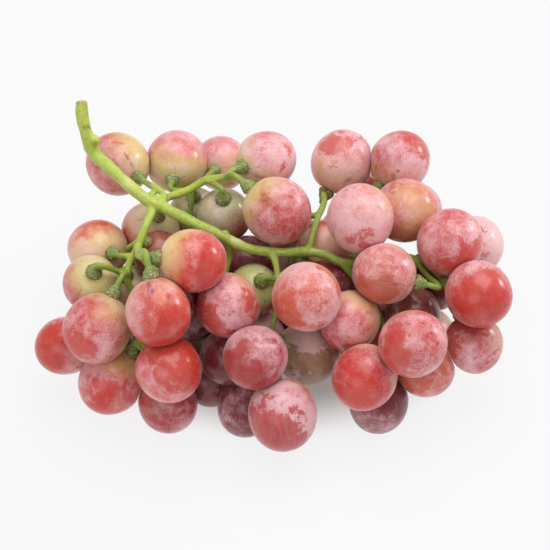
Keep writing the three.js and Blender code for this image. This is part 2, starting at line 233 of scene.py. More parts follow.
# Bends a path clear of the berries: each round, a free point takes on a share of its neighbours' moves
# and is pushed out of every berry by what its distance lacks.
def pushClear(points, radii, room, fixedAtEnd, centres, keepOut):
    drawn = points.copy()
    moved = np.zeros_like(points)
    last = len(points) - 1
    free = np.arange(1, last - fixedAtEnd + 1)
    for _ in range(layout["clearRounds"]):
        around = (moved[free - 1] + moved[np.minimum(free + 1, last)]) / 2
        step = moved[free] + (around - moved[free]) * layout["moveSharing"]
        away = (drawn[free] + step)[:, None] - centres[None]
        distance = np.linalg.norm(away, axis=2)
        lack = np.clip(keepOut[None] + radii[free, None] + room - distance, 0, None)
        moved[free] = step + (away * (lack / distance)[:, :, None]).sum(axis=1)
    return drawn + moved


# The place on a path nearest to a given place, and the start of the stretch that it is on.
def nearestOn(points, place):
    start = points[:-1]
    along = points[1:] - start
    share = ((place - start) * along).sum(axis=1) / (along ** 2).sum(axis=1)
    at = start + along * np.clip(share, 0, 1)[:, None]
    best = np.argmin(np.linalg.norm(at - place, axis=1))
    return at[best], start[best]


# A stalk's path from its root on the arm: a quadratic curve that turns square to the berry, bent clear of
# the other berries. Returns the path, its end at the berry, the pole and how long the swollen end is.
def stalkPath(index, berries, arm):
    centre = berries["centre"][index]
    radius = berries["radius"][index]
    at, behind = nearestOn(arm, centre)
    back = behind - at
    backLength = np.linalg.norm(back)
    root = at + back * (min(backLength, layout["stalkLean"]) / max(backLength, 1e-9))
    pole = berries["pole"][index]
    shown = pole is not None
    if not shown:
        pole = (root - centre) / np.linalg.norm(root - centre)
        berries["pole"][index] = pole
    end = centre + pole * (radius * layout["lengthFactor"] + layout["air"])
    span = np.linalg.norm(end - root)
    bud = min(layout["budLength"], span * layout["budShare"])
    if bud < layout["shortestBud"]:
        return None
    freeLength = span - bud
    approach = end + pole * (bud + freeLength * layout["approachShare"])
    points = root[None]
    if span > layout["stalkStep"]:
        turn = end + pole * (bud + freeLength * layout["turnShare"])
        curve = lambda t: (1 - t) ** 2 * root + 2 * t * (1 - t) * turn + t ** 2 * approach
        fine = curve(np.linspace(0, 1, layout["curveParts"] + 1)[:, None])
        length = np.linalg.norm(np.diff(fine, axis=0), axis=1).sum()
        steps = math.floor(length / layout["stalkStep"] + 0.5) + 1
        points = np.vstack([root, curve(np.linspace(0, 1, steps + 1)[1:, None])])
        keepOut = berries["radius"] * layout["lengthFactor"]
        keepOut[index] = -np.inf
        radii = np.full(len(points), layout["stalkRadius"])
        points = pushClear(points, radii, layout["stalkRoom"], 1, berries["centre"], keepOut)
    return {"path": points, "end": end, "pole": pole, "bud": bud, "shown": shown}


# Berries, settled and centred over the origin, then the arms, then the stalks: the layout of the bunch.
def layOut():
    berries = listBerries()
    radii = berries["radius"]
    centres = settle(berries["centre"], radii)
    middle = ((centres - radii[:, None]).min(axis=0) + (centres + radii[:, None]).max(axis=0)) / 2
    shift = middle * [1, 1, 0]
    berries["centre"] = centres - shift
    berries["shift"] = shift
    placed = {}
    thickness = {}
    for name, rows in arms.items():
        points = np.array([row[:3] for row in rows], float) - shift
        thickness[name] = np.array([row[3] for row in rows], float)
        if name != "spine":
            points[0] = nearestOn(placed[growsFrom.get(name, "spine")], points[0])[0]
        placed[name] = pushClear(points, thickness[name], layout["armRoom"], 0, berries["centre"],
                                 radii * layout["lengthFactor"])
    stalks = [stalkPath(i, berries, placed[berries["arm"][i]]) for i in range(len(radii))]
    return berries, placed, thickness, stalks


berries, armPaths, armRadii, stalks = layOut()
berryCount = len(berries["radius"])
print("laid out", berryCount, "berries and", sum(s is not None for s in stalks), "stalks")


# A mesh from corners in millimetres and arrays of faces, one array for each number of corners.
def meshOf(name, corners, faces):
    mesh = bpy.data.meshes.new(name)
    mesh.from_pydata((corners * mm).tolist(), [], sum((part.tolist() for part in faces), []))
    return mesh


# A smooth shaded mesh object with its corner attributes, which replaces a node of the frame.
def addPiece(name, corners, faces, node, material, attributes):
    mesh = meshOf(name, corners, faces)
    for key, values in attributes.items():
        addAttribute(mesh, key, values)
    mesh.materials.append(material)
    mesh.polygons.foreach_set("use_smooth", np.ones(len(mesh.polygons), bool))
    piece = bpy.data.objects.new(name, mesh)
    bpy.context.scene.collection.objects.link(piece)
    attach(piece, "root")
    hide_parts(node)


# A colour attribute, from red, green and blue or from any three values, at each corner.
def addAttribute(mesh, key, values):
    attribute = mesh.attributes.new(key, "FLOAT_COLOR", "POINT")
    full = np.ones((len(values), 4))
    full[:, :3] = values
    attribute.data.foreach_set("color", full.ravel())


# Faces of a closed grid, rings of equal size joined round with a pole corner at each end: first the
# four-sided ones, then the three-sided ones round the poles.
def closedGridFaces(rings, sides):
    k = np.arange(sides)
    after = (k + 1) % sides
    i = np.arange(rings - 1)[:, None] * sides
    quads = np.stack([i + k, i + after, i + sides + after, i + sides + k], axis=2).reshape(-1, 4)
    pole = np.full(sides, rings * sides)
    tail = (rings - 1) * sides
    startCap = np.column_stack([pole, after, k])
    endCap = np.column_stack([pole + 1, tail + k, tail + after])
    return quads, np.vstack([startCap, endCap])


# Linear colour from the usual 0 to 255 values.
def colour(red, green, blue):
    share = np.array([red, green, blue], float) / 255
    return np.where(share <= 0.04045, share / 12.92, ((share + 0.055) / 1.055) ** 2.4)


# The same as the four values that a shader takes.
def paint(tone):
    return (*colour(*tone), 1)


# Smooth step from 0 at low to 1 at high.
def smoothStep(low, high, value):
    share = np.clip((value - low) / (high - low), 0, 1)
    return share * share * (3 - 2 * share)


# Two directions at right angles to an axis and to each other.
def sidesOf(axis):
    helper = np.array([0, 0, 1]) if abs(axis[2]) < 0.9 else np.array([1, 0, 0])
    across = np.cross(axis, helper)
    across = across / np.linalg.norm(across)
    return across, np.cross(axis, across)


viewRise = math.radians(46)     # the viewer looks down at the bunch by this much
viewRight = np.array([1, 0, 0])
viewUp = np.array([0, math.sin(viewRise), math.cos(viewRise)])
viewNear = np.array([0, -math.cos(viewRise), math.sin(viewRise)])


# A material's node graph, with one method that makes any node.
class Graph:
    def __init__(self, name):
        self.material = bpy.data.materials.new(name)
        self.material.use_nodes = True
        self.tree = self.material.node_tree
        self.tree.nodes.clear()

    # Makes a node: its type, then its settings, then a value or signal for each input.
    def make(self, kind, settings=None, inputs=None, output=0):
        node = self.tree.nodes.new(kind)
        for key, value in (settings or {}).items():
            setattr(node, key, value)
        for key, value in (inputs or {}).items():
            if isinstance(value, Signal):
                self.tree.links.new(value.socket, node.inputs[key])
            else:
                node.inputs[key].default_value = value
        return Signal(self, node.outputs[output])

    # The place on the object, in metres.
    def place(self):
        return self.make("ShaderNodeTexCoord", output="Object")

    # One of the mesh's own colour attributes.
    def attribute(self, key):
        return self.make("ShaderNodeAttribute", {"attribute_name": key}, output="Color")

    # Noise between about 0 and 1, with features of the given number to the metre.
    def noise(self, place, scale, detail=3, roughness=0.5, distortion=0):
        return self.make("ShaderNodeTexNoise", {}, {
            "Vector": place, "Scale": scale, "Detail": detail, "Roughness": roughness,
            "Distortion": distortion,
        })

    # A vector with each part multiplied by its own number.
    def scaled(self, vector, factors):
        made = self.make("ShaderNodeVectorMath", {"operation": "MULTIPLY"}, {0: vector, 1: factors})
        return made.asVector()

    # Blends colour low into colour high by the factor.
    def mix(self, factor, low, high):
        return self.make("ShaderNodeMix", {"data_type": "RGBA"}, {0: factor, 6: low, 7: high}, output=2)

    # Small bumps of the given height in metres.
    def bump(self, height, metres):
        return self.make("ShaderNodeBump", {}, {"Strength": 1, "Distance": metres, "Height": height})

    # The finished surface.
    def surface(self, inputs):
        shader = self.make("ShaderNodeBsdfPrincipled", {}, inputs)
        output = self.tree.nodes.new("ShaderNodeOutputMaterial")
        self.tree.links.new(shader.socket, output.inputs["Surface"])
        return self.material


# An output in a material's graph. Arithmetic on it adds maths nodes.
class Signal:
    isVector = False

    def __init__(self, graph, socket):
        self.graph = graph
        self.socket = socket

    def maths(self, operation, *values):
        kind = "ShaderNodeVectorMath" if self.isVector else "ShaderNodeMath"
        return self.graph.make(kind, {"operation": operation}, dict(enumerate(values)))

    # The same output, with vector arithmetic from here on.
    def asVector(self):
        self.isVector = True
        return self

    def __add__(self, other):
        return self.maths("ADD", self, other)

    def __sub__(self, other):
        return self.maths("SUBTRACT", self, other)

    def __rsub__(self, other):
        return self.maths("SUBTRACT", other, self)

    def __mul__(self, other):
        return self.maths("MULTIPLY", self, other)

    __radd__ = __add__
    __rmul__ = __mul__

    # Smooth step from 0 at low to 1 at high; low may be the larger.
    def step(self, low, high):
        return self.graph.make("ShaderNodeMapRange", {"interpolation_type": "SMOOTHSTEP"},
                               {0: self, 1: low, 2: high, 3: 0, 4: 1})

    # One channel of a colour, by number.
    def channel(self, number):
        return self.graph.make("ShaderNodeSeparateColor", {}, {0: self}, output=number)


# Kinds of berry skin. Colours: ripe skin, pale skin by the stalk, and bare skin where the bloom is rubbed
# off. Then how ripe the skin is on the whole, how thick its bloom is, and how much of that is rubbed off.
kinds = {
    "rose": {"ripe": (186, 50, 44), "pale": (216, 188, 122), "bare": (190, 44, 22), "ripeness": 0.66,
             "bloom": 0.55, "rubbed": 0.45},
    "flame": {"ripe": (204, 62, 40), "pale": (226, 194, 130), "bare": (190, 42, 18), "ripeness": 0.7,
              "bloom": 0.36, "rubbed": 0.5},
    "crimson": {"ripe": (166, 34, 40), "pale": (206, 150, 104), "bare": (170, 28, 22), "ripeness": 0.78,
                "bloom": 0.5, "rubbed": 0.5},
    "mauve": {"ripe": (204, 104, 104), "pale": (206, 186, 108), "bare": (194, 72, 48), "ripeness": 0.55,
              "bloom": 0.66, "rubbed": 0.3},
    "blush": {"ripe": (204, 104, 82), "pale": (204, 184, 110), "bare": (184, 92, 34), "ripeness": 0.5,
              "bloom": 0.52, "rubbed": 0.35},
    "green": {"ripe": (184, 88, 66), "pale": (168, 182, 112), "bare": (172, 104, 52), "ripeness": 0.32,
              "bloom": 0.45, "rubbed": 0.3},
    "peach": {"ripe": (204, 82, 54), "pale": (222, 188, 116), "bare": (202, 72, 28), "ripeness": 0.58,
              "bloom": 0.52, "rubbed": 0.42},
    "lilac": {"ripe": (182, 58, 60), "pale": (210, 168, 116), "bare": (190, 50, 30), "ripeness": 0.66,
              "bloom": 0.62, "rubbed": 0.4},
    "amber": {"ripe": (188, 76, 58), "pale": (216, 176, 112), "bare": (182, 74, 26), "ripeness": 0.64,
              "bloom": 0.6, "rubbed": 0.5},
    "cream": {"ripe": (196, 84, 72), "pale": (206, 190, 138), "bare": (188, 84, 44), "ripeness": 0.42,
              "bloom": 0.42, "rubbed": 0.3},
    "dusk": {"ripe": (124, 24, 34), "pale": (160, 96, 60), "bare": (106, 16, 22), "ripeness": 0.8,
             "bloom": 0.34, "rubbed": 0.5},
    "olive": {"ripe": (194, 166, 132), "pale": (200, 196, 142), "bare": (140, 94, 34), "ripeness": 0.5,
              "bloom": 0.9, "rubbed": 0.5},
}

berryShape = {
    "rings": 34,
    "sides": 48,
    "poleGap": 0.6,        # from a pole to the ring next to it, over the gap between rings
    "lumps": {"height": 0.015, "count": 5, "frequency": 1.1},     # height over the radius
    "dimpleDepth": 0.5,    # where the stalk joins
    "dimpleWidth": 0.3,    # in radians
    "tipDepth": 0.15,      # at the scar of the flower, opposite the stalk
    "tipWidth": 0.12,
    "softness": 0.22,      # how rounded the edge of a pressed flat is
    "contactGap": 0.04,    # half the gap left between two berries
    "tableGap": 0.02,      # least height of a corner over the table
    "firstSeed": 1000,
}

skinShape = {
    "ripenAway": 0.6,      # how much riper a berry is at its tip than by its stalk
    "ripenSide": 0.3,      # and on its riper side
    "rubSide": 1.35,       # how much more the bloom is rubbed there, over how much on the whole
    "farSide": 0.75,       # the same for the side opposite, over that
    "ripeWaves": {"height": 0.1, "count": 5, "frequency": 0.9},
    "rubWaves": {"height": 0.14, "count": 4, "frequency": 0.7},
    "bloomWaves": {"height": 0.12, "count": 4, "frequency": 0.8},
    "bloomSpread": 0.12,    # from berry to berry
    "tintSpread": 0.06,
    "usualSide": (-0.3, -0.5, 0.4),    # about the riper side of a berry that none is listed for
    "sideSpread": 0.6,
}

# Marks on the skin and the wax on it.
skinTones = {
    "wax": (236, 198, 204),
    "stroke": (128, 52, 70),
    "speck": (112, 38, 40),
    "scar": (140, 96, 62),
}


# Smooth random values over directions, about the height either way: a few sine waves across the ball.
def waves(directions, random, height, count, frequency):
    axes = random.normal(size=(count, 3))
    axes *= frequency / np.linalg.norm(axes, axis=1)[:, None]
    phases = random.uniform(0, 2 * math.pi, count)
    return height * np.sin(directions @ axes.T * math.pi + phases).sum(axis=1) / math.sqrt(count)


# How far an oval berry reaches each way: its radius over the direction's length, scaled back to a ball.
def ovalReach(radius, pole, directions):
    along = (directions * pole).sum(axis=-1)
    across = 1 - along ** 2
    return radius / np.sqrt(across / layout["widthFactor"] ** 2 + along ** 2 / layout["lengthFactor"] ** 2)


# The flats that a berry is pressed to, as directions and distances from its middle: halfway through what
# it and each neighbour would overlap, and at the table.
def flatsOf(index):
    away = np.delete(berries["centre"], index, axis=0) - berries["centre"][index]
    distance = np.linalg.norm(away, axis=1)
    directions = away / distance[:, None]
    own = ovalReach(berries["radius"][index], berries["pole"][index], directions)
    otherPoles = np.delete(np.array(berries["pole"]), index, axis=0)
    other = ovalReach(np.delete(berries["radius"], index), otherPoles, -directions)
    overlap = own + other - distance
    touching = overlap > 0
    flats = own[touching] - overlap[touching] / 2 - berryShape["contactGap"]
    down = np.array([[0, 0, -1.0]])
    return np.vstack([directions[touching], down]), np.append(flats, berries["centre"][index][2])


# Presses points flat against a plane: what lies beyond its distance is drawn back to it. The ramp is soft,
# the logarithm of one plus the exponential of what lies beyond.
def pressFlat(points, direction, distance):
    soft = berryShape["softness"]
    along = points @ direction
    back = soft * np.logaddexp(0, (along - distance) / soft)
    return points - direction * back[:, None]


# A berry as a closed grid round its pole: an oval with faint lumps, less a bell-shaped dimple where the
# stalk joins and a small one at the tip, pressed flat where it touches. Its colours follow from its kind.
def berryPiece(index, material):
    random = np.random.default_rng(berryShape["firstSeed"] + index)
    pole = berries["pole"][index]
    rings, sides = berryShape["rings"], berryShape["sides"]
    across, side = sidesOf(pole)
    tilt = math.pi * (np.arange(rings) + berryShape["poleGap"]) / (rings - 1 + 2 * berryShape["poleGap"])
    turn = 2 * math.pi * np.arange(sides) / sides
    tilt = np.append(np.repeat(tilt, sides), [0, math.pi])
    turn = np.append(np.tile(turn, rings), [0, 0])
    ring = np.sin(tilt)
    directions = (np.cos(tilt)[:, None] * pole + (ring * np.cos(turn))[:, None] * across
                  - (ring * np.sin(turn))[:, None] * side)
    reach = ovalReach(berries["radius"][index], pole, directions)
    reach *= 1 + waves(directions, random, **berryShape["lumps"])
    reach -= berryShape["dimpleDepth"] * np.exp(-(tilt / berryShape["dimpleWidth"]) ** 2)
    reach -= berryShape["tipDepth"] * np.exp(-((math.pi - tilt) / berryShape["tipWidth"]) ** 2)
    points = directions * reach[:, None]
    for direction, distance in zip(*flatsOf(index)):
        points = pressFlat(points, direction, distance)
    corners = points + berries["centre"][index]
    corners[:, 2] = np.maximum(corners[:, 2], berryShape["tableGap"])
    kind, ripeSide = berries["kind"][index], berries["ripeSide"][index]
    attributes = berryColours(kind, ripeSide, directions, tilt, turn, random)
    faces = closedGridFaces(rings, sides)
    addPiece(f"berry_{index + 1:02d}", corners, faces, "berries", material, attributes)


# A berry's colours and traits at its corners. It is riper away from the stalk and on its riper side, with
# slow waves. The bloom is rubbed most on the riper side and, less, on the one opposite. The traits are
# the ripeness, the rubbing and the bloom.
def berryColours(kindName, ripeSide, directions, tilt, turn, random):
    kind = kinds[kindName]
    away = tilt / math.pi
    if ripeSide is None:
        ripeSide = random.normal(size=3) * skinShape["sideSpread"] + skinShape["usualSide"]
    right, up, near = ripeSide
    towards = viewRight * right + viewUp * up + viewNear * near
    facing = directions @ (towards / np.linalg.norm(towards))
    ripeness = (kind["ripeness"] + skinShape["ripenAway"] * (away - 0.5) + skinShape["ripenSide"] * facing
                + waves(directions, random, **skinShape["ripeWaves"]))
    tint = 1 + skinShape["tintSpread"] * random.normal(size=3)
    same = np.ones((len(tilt), 1))
    colours = {part: np.clip(colour(*kind[part]) * tint, 0, 1) * same for part in ("pale", "ripe", "bare")}
    side = np.maximum(facing, -skinShape["farSide"] * facing)
    rubbed = (kind["rubbed"] * (1 + skinShape["rubSide"] * (side - 0.5))
              + waves(directions, random, **skinShape["rubWaves"]))
    bloom = (kind["bloom"] * (1 + skinShape["bloomSpread"] * random.normal())
             + waves(directions, random, **skinShape["bloomWaves"]))
    traits = np.clip(np.stack([ripeness, rubbed, bloom], axis=1), 0, 1)
    around = np.stack([np.cos(turn) * 0.5 + 0.5, np.sin(turn) * 0.5 + 0.5, away], axis=1)
    return {**colours, "traits": traits, "around": around}


# Berry skin: pale skin mottled into ripe skin; warmer clouds; crisp, uneven patches where the bloom is
# rubbed off; a thin pale bloom over the rest, brushed and grainy; purple strokes running out from the
# stalk; fine specks; the brown scar at the tip.
def berryMaterial():
    g = Graph("grape skin")
    place = g.place()
    traits = g.attribute("traits")
    ripeness = traits.channel(0)
    rubbed = traits.channel(1)
    bloom = traits.channel(2)
    around = g.attribute("around")
    away = around.channel(2)
    clouds = g.noise(place, 95, 4, 0.6, 0.15)
    mottle = g.noise(place, 330, 4, 0.65, 0.1)
    grain = g.noise(place, 1700, 2, 0.7)
    ripe = (ripeness + (clouds - 0.5) * 0.5 + (mottle - 0.5) * 0.3).step(0.2, 0.72)
    skin = g.mix(ripe, g.attribute("pale"), g.attribute("ripe"))
    warm = (clouds * 0.55 + mottle * 0.45 + rubbed * 0.3).step(0.5, 0.8) * ripe
    skin = g.mix(warm * 0.6, skin, g.attribute("bare"))
    patches = g.noise(place, 110, 4, 0.6, 0.3) * 0.6 + mottle * 0.24 + grain * 0.16
    bare = (patches - (0.68 - rubbed * 0.32)).step(-0.025, 0.035)
    streaks = g.noise(g.scaled(place, (40, 40, 40)) + g.scaled(around, (26, 26, 4)), 1, 3, 0.6)
    skin = g.mix(bare * ripe * (0.62 + streaks * 0.5), skin, g.attribute("bare"))
    flow = g.scaled(place, (60, 60, 60)) + g.scaled(around, (7, 7, 2.5))
    strokes = (g.noise(flow, 1, 3, 0.55, 0.5) + bloom * 0.1).step(0.64, 0.7)
    strokes = strokes * clouds.step(0.42, 0.6) * away.step(0.7, 0.35)
    skin = g.mix(strokes * 0.72, skin, paint(skinTones["stroke"]))
    specks = g.noise(place, 1900, 1).step(0.64, 0.73)
    skin = g.mix(specks * 0.42, skin, paint(skinTones["speck"]))
    brushed = g.noise(place, 105, 3, 0.6, 0.2) * 0.4 + mottle * 0.35 + grain * 0.25
    waxy = (brushed + bloom * 0.42 - 0.7).step(-0.12, 0.14)
    waxy = waxy * (1.12 - bare * 0.76 - bare * streaks * 0.4) * (1 - strokes * 0.5)
    skin = g.mix(waxy * 0.6 + bloom * 0.08, skin, paint(skinTones["wax"]))
    skin = g.mix(away.step(0.98, 0.99) * 0.6, skin, paint(skinTones["scar"]))
    fine = grain * 0.15 + mottle * 0.35 + g.noise(place, 180, 2) * 0.5
    return g.surface({
        "Base Color": skin,
        "Roughness": 0.27 + waxy * 0.2,
        "Normal": g.bump(fine, 0.00025),
        "Subsurface Weight": 0.25,
        "Subsurface Radius": (1, 0.35, 0.2),
        "Subsurface Scale": 0.003,
        "IOR": 1.42,
        "Coat Weight": 0.2,
        "Coat Roughness": 0.14,
        "Sheen Weight": 0.22,
        "Sheen Roughness": 0.3,
        "Sheen Tint": (1, 0.86, 0.88, 1),
    })


skinMaterial = berryMaterial()
for index in range(berryCount):
    berryPiece(index, skinMaterial)
print("berries made")


stemShape = {
    "fineness": 0.46,       # size of the cells that the branches are joined with
    "smoothing": 7,         # rounds of smoothing after that
    "smoothFactor": 0.5,
    "spare": 0.1,           # added to each radius, as smoothing shrinks the branches
    "sides": 14,
    "pathStep": 0.8,
    "collar": 0.35,         # how much an arm swells where it leaves another, over its radius
    "stalkCollar": 0.12,    # and a stalk where it leaves its arm
    "collarLength": 1.6,    # over the radius
    "leastFoot": 0.05,      # the rounding starts this share of the way in, so a foot isn't a point
    "unevenness": 0.05,     # how far its thickness waves, in a slow wave and a quick, smaller one
    "slowWave": 0.55,
    "quickWave": 1.3,
    "quickShare": 0.6,
    "bumpReach": 0.9,       # how far up and down a bump goes, over its radius
    "bumpRings": 9,
    "block": 4000,          # corners that are matched to the branches at a time
    "grainSkew": 0.3,
    "grainStretch": 0.02,
    "seed": 77,
}


# A smooth path and radii through the points of an arm: between each two, a cubic that follows from them and
# the ones on either side.
def smoothPath(points, radii):
    rows = np.column_stack([points, radii])
    rows = np.vstack([2 * rows[0] - rows[1], rows, 2 * rows[-1] - rows[-2]])
    before, here, after, beyond = rows[:-3], rows[1:-2], rows[2:-1], rows[3:]
    stretches = []
    for a, b, c, d in zip(before, here, after, beyond):
        steps = max(2, int(np.linalg.norm((c - b)[:3]) / stemShape["pathStep"]))
        t = (np.arange(steps) / steps)[:, None]
        stretches.append(0.5 * (2 * b + (c - a) * t + (2 * a - 5 * b + 4 * c - d) * t ** 2
                                + (3 * b - a - 3 * c + d) * t ** 3))
    path = np.vstack([*stretches, rows[-2]])
    return path[:, :3], path[:, 3]


# A closed round tube along a path, with its own radius at each point. Each ring lies across the path, and
# is carried on from the ring before without a twist.
def tube(path, radii, sides):
    tangents = np.gradient(path, axis=0)
    tangents /= np.linalg.norm(tangents, axis=1)[:, None]
    across = np.empty_like(path)
    across[0] = sidesOf(tangents[0])[0]
    for i in range(1, len(path)):
        turned = across[i - 1] - tangents[i] * (across[i - 1] @ tangents[i])
        across[i] = turned / np.linalg.norm(turned)
    side = np.cross(tangents, across)
    turn = 2 * math.pi * np.arange(sides) / sides
    ring = (np.cos(turn)[None, :, None] * across[:, None] + np.sin(turn)[None, :, None] * side[:, None])
    corners = (path[:, None] + ring * radii[:, None, None]).reshape(-1, 3)
    return np.vstack([corners, path[0], path[-1]]), closedGridFaces(len(path), sides)


# Puts many closed shapes into one: all corners in a row, with the faces' numbers moved on to match.
def gather(shapes):
    starts = np.cumsum([0] + [len(corners) for corners, _ in shapes])
    faces = [np.vstack([shapeFaces[part] + start for (_, shapeFaces), start in zip(shapes, starts)])
             for part in (0, 1)]
    return np.vstack([corners for corners, _ in shapes]), faces


# Where the stem has a bump, on the outside of a joint: middle, in the frame of the arms, and radius.
stemBumps = [
    ([-66.3, 35.8, 75.3], 2.1),
    ([-43.5, 19.5, 60.5], 1.9),
    ([-45.5, 22.5, 59.5], 1.9),
    ([-18, 7.5, 54.2], 1.9),
]


# Radii along a path with a swollen foot: they swell by the collar's share at the foot, which fades as a
# bell curve over the collar's length, and the foot is rounded off over the first radius.
def withCollar(path, radii, collar):
    gone = lengthsAlong(path)
    swelling = 1 + collar * np.exp(-((gone / (radii[0] * stemShape["collarLength"])) ** 2))
    share = np.clip(gone / radii[0], stemShape["leastFoot"], 1)
    return radii * swelling * np.sqrt(1 - (1 - share) ** 2)


# All branches of the stem as smooth tubes with uneven thickness, ready to be joined. Returns them with
# their middle lines, for colouring.
def stemBranches():
    random = np.random.default_rng(stemShape["seed"])
    shapes = []
    lines = []
    for name, points in armPaths.items():
        path, radii = smoothPath(points, armRadii[name])
        if name != "spine":
            radii = withCollar(path, radii, stemShape["collar"])
        lines.append((path, radii))
    for stalk in stalks:
        if stalk is None:
            continue
        top = stalk["end"] + stalk["pole"] * stalk["bud"] * np.array([[1.0], [0.5]])
        points = np.vstack([stalk["path"], top])    # its last two points are in the swollen end
        path, radii = smoothPath(points, np.full(len(points), layout["stalkRadius"]))
        lines.append((path, withCollar(path, radii, stemShape["stalkCollar"])))
    for path, radii in lines:
        gone = lengthsAlong(path)
        slow = np.sin(gone * stemShape["slowWave"] + random.uniform(0, 6))
        quick = np.sin(gone * stemShape["quickWave"] + random.uniform(0, 6)) * stemShape["quickShare"]
        uneven = radii * (1 + stemShape["unevenness"] * (slow + quick)) + stemShape["spare"]
        shapes.append(tube(path, uneven, stemShape["sides"]))
    return shapes, lines


# Joins overlapping shapes into one smooth skin: remeshed in small cells, then smoothed. Returns its
# corners in millimetres and its faces, all four-sided.
def joinShapes(shapes):
    mesh = meshOf("joining", *gather(shapes))
    holder = bpy.data.objects.new("joining", mesh)
    bpy.context.scene.collection.objects.link(holder)
    remesh = holder.modifiers.new("cells", "REMESH")
    remesh.mode = "VOXEL"
    remesh.voxel_size = stemShape["fineness"] * mm
    smooth = holder.modifiers.new("smooth", "SMOOTH")
    smooth.factor = stemShape["smoothFactor"]
    smooth.iterations = stemShape["smoothing"]
    joined = holder.evaluated_get(bpy.context.evaluated_depsgraph_get()).to_mesh()
    made = np.empty(len(joined.vertices) * 3)
    joined.vertices.foreach_get("co", made)
    around = np.empty(len(joined.loops), int)
    joined.loops.foreach_get("vertex_index", around)
    bpy.data.objects.remove(holder)
    bpy.data.meshes.remove(mesh)
    return made.reshape(-1, 3) / mm, around.reshape(-1, 4)


# For each corner, the nearest middle-line point of the branches, worked out in blocks.
def nearestLinePoint(corners, linePoints):
    size = stemShape["block"]
    blocks = [corners[start:start + size] for start in range(0, len(corners), size)]
    squares = (((block[:, None] - linePoints[None]) ** 2).sum(axis=2) for block in blocks)
    return np.concatenate([square.argmin(axis=1) for square in squares])


# How far along its own length each point of a path is.
def lengthsAlong(path):
    return np.append(0, np.cumsum(np.linalg.norm(np.diff(path, axis=0), axis=1)))


# The stem's grain at its corners, two values round the nearest branch and one along it, and how far out
# the corner is on a stalk: 0 on the arms to 1.
def stemGrain(corners, lines):
    linePoints = np.vstack([path for path, _ in lines])
    tangents = np.vstack([np.gradient(path, axis=0) for path, _ in lines])
    tangents /= np.linalg.norm(tangents, axis=1)[:, None]
    lengths = [lengthsAlong(path) for path, _ in lines]
    stalkLengths = np.concatenate([length * (i >= len(arms)) for i, length in enumerate(lengths)])
    nearest = nearestLinePoint(corners, linePoints)
    out = corners - linePoints[nearest]
    out -= tangents[nearest] * (out * tangents[nearest]).sum(axis=1)[:, None]
    out /= np.maximum(np.linalg.norm(out, axis=1), 1e-6)[:, None]
    skewed = out[:, 1] * stemShape["grainSkew"]
    along = np.concatenate(lengths)[nearest] * stemShape["grainStretch"]
    grain = np.column_stack([out[:, 0] + skewed, out[:, 2] - skewed, along])
    return grain, smoothStep(*stemGreens["stalkFrom"], stalkLengths[nearest])


# Places on the stem with a mark, in the frame of the arms' list: middle and radius. The brown marks are the
# stem's own; the pale ones, on top of the spine, are painted highlights.
stemMarks = {
    "brown": [([-69.7, 37, 80.6], 0.9), ([-38.3, 22.5, 58.6], 1.5), ([-11, 1.5, 51], 2),
              ([-44.5, 17, 58.6], 1.4), ([-66.5, 34.5, 75.3], 1.1)],
    # Painted highlights on top of the spine.
    "pale": [([-70.4, 39.6, 84.9], 1.1), ([-54, 22.5, 66], 2.6), ([-14, 2.5, 56], 2.6)],
}

stemGreens = {
    # The first two greens are painted light and shade of one green: lit on top and towards the cut end,
    # shaded far along.
    "paintedLitGreen": (174, 194, 68),
    "deep": (110, 138, 44),
    "stalk": (116, 144, 54),
    # The colour of the painted highlights.
    "pale": (214, 214, 144),
    "brown": (128, 98, 54),
    "cut": (176, 136, 98),
    "ridge": (202, 208, 116),
    "groove": (96, 124, 36),
    "cloud": (188, 192, 86),
    "pore": (220, 216, 158),
    "fleck": (128, 104, 50),
    "spot": (150, 116, 64),
    "alongEnds": (40, 20),      # how far from each end the change from deep to lit green stops
    "riseEnds": (25, 70),       # the heights that it runs between
    "alongShare": 0.6,          # how much of it goes by length, the rest by height
    "stalkFrom": (1, 5),        # how far out on a stalk its own green starts and is full
    "markShare": 0.8,           # how fully a mark, or a stalk's own green, covers what is under it
    "cutDepth": (-0.8, -0.3),   # where the tan of the cut starts and is full, before the end
}


# Blends one colour over others by a share at each corner.
def blend(under, over, share):
    return under + (colour(*over) - under) * share[:, None]


# The stem's colour at its corners: painted light and shade, a lit green near the cut end and on top and a
# shaded green far along; the stalks' own deeper green; brown marks and painted highlights; and tan at the
# cut.
def stemColours(corners, onStalk):
    cutEnd, behind = armPaths["spine"][:2]
    outward = (cutEnd - behind) / np.linalg.norm(cutEnd - behind)
    farGap, cutGap = stemGreens["alongEnds"]
    alongShare = stemGreens["alongShare"]
    x, z = corners[:, 0], corners[:, 2]
    # Painted light and shade: lighter on top and towards the cut end, darker far along.
    share = (smoothStep(x.max() - farGap, x.min() + cutGap, x) * alongShare
             + smoothStep(*stemGreens["riseEnds"], z) * (1 - alongShare))
    shade = blend(colour(*stemGreens["deep"])[None], stemGreens["paintedLitGreen"], share)
    shade = blend(shade, stemGreens["stalk"], onStalk * stemGreens["markShare"])
    # Brown marks, and pale marks that are painted highlights.
    for tone, marks in stemMarks.items():
        for middle, radius in marks:
            gap = np.linalg.norm(corners - (middle - berries["shift"]), axis=1)
            shade = blend(shade, stemGreens[tone], np.exp(-((gap / radius) ** 2)) * stemGreens["markShare"])
    beforeEnd = (corners - cutEnd) @ outward
    return blend(shade, stemGreens["cut"], smoothStep(*stemGreens["cutDepth"], beforeEnd))
